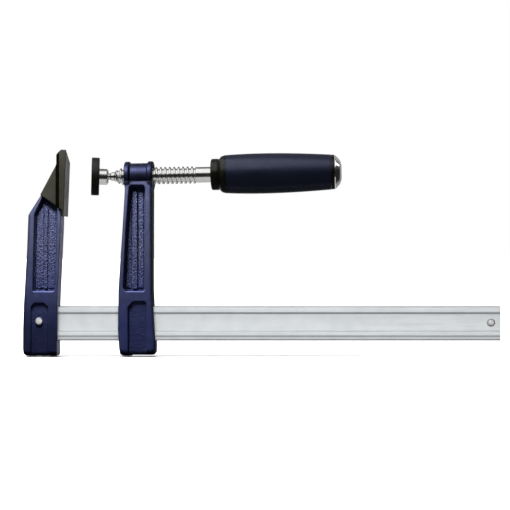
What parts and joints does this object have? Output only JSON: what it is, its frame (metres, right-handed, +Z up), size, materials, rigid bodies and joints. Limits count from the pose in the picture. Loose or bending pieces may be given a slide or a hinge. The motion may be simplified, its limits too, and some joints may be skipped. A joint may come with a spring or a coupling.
{
  "type": "f clamp",
  "caption": "Hand clamp: a cast arm fixed to a profiled steel rail, and a sliding cast arm with a screw, handle and swivelling pad, for pressing work against the fixed jaw.",
  "frame": {"origin": "on the ground plane, under the middle of the overall bounding box", "axes": "+X along the rail from the fixed arm to the rail's free end, +Y across the thickness, away from the side seen, +Z up along the arms from the rail to the jaws"},
  "size_m": [0.428, 0.0367, 0.1851],
  "materials": {
    "galvanised_steel": "bright zinc plated, drawn bar",
    "blue_paint": "dark blue powder coat over a casting, satin",
    "bright_steel": "bright zinc plated",
    "black_plastic": "moulded, fine grain",
    "blue_grip": "moulded, satin",
    "bright_chrome": "polished",
    "seat_plastic": "natural nylon"
  },
  "bodies": {
    "frame": {"rail": "galvanised_steel", "fixed_arm": "blue_paint", "fixed_arm_rivet": "bright_steel", "jaw_cap": "black_plastic", "rail_end_stop": "bright_steel"},
    "brake": {"brake_spring": "bright_steel"},
    "sliding_arm": {"sliding_arm": "blue_paint"},
    "ball_seat": {"ball_seat": "seat_plastic"},
    "screw": {"spindle": "bright_steel", "handle_core": "black_plastic", "handle_grip": "blue_grip", "handle_end_cap": "bright_chrome"},
    "swivel_ring": {"retaining_ring": "bright_steel"},
    "pad": {"pad_plate": "bright_steel", "pad_cap": "black_plastic"}
  },
  "joints": [
    {"name": "arm_slide", "type": "slide", "parent": "frame", "child": "brake", "axis": [1, 0, 0], "range_m": [-0.017, 0.2955]},
    {"name": "arm_rock", "type": "hinge", "parent": "brake", "child": "sliding_arm", "pos_m": [-0.113, 0, 0.0293], "axis": [0, 1, 0], "range_deg": [0, 2.4]},
    {"name": "screw_feed", "type": "slide", "parent": "sliding_arm", "child": "ball_seat", "axis": [-0.9998, 0, -0.0209], "range_m": [-0.0101, 0.0171]},
    {"name": "screw_turn", "type": "hinge", "parent": "ball_seat", "child": "screw", "pos_m": [-0.1108, 0, 0.16185], "axis": [-0.9998, 0, -0.0209], "range_deg": [-900, 1530]},
    {"name": "pad_tilt", "type": "hinge", "parent": "ball_seat", "child": "swivel_ring", "pos_m": [-0.14269, 0, 0.16118], "axis": [0, 1, 0], "range_deg": [-14.6, 9.4]},
    {"name": "pad_yaw", "type": "hinge", "parent": "swivel_ring", "child": "pad", "pos_m": [-0.14269, 0, 0.16118], "axis": [0.0244, 0, 0.9997], "range_deg": [-22.4, 1.6]}
  ],
  "couplings": [
    {"joint": "screw_feed", "follows": "screw_turn", "m_per_rad": 0.00063662}
  ]
}
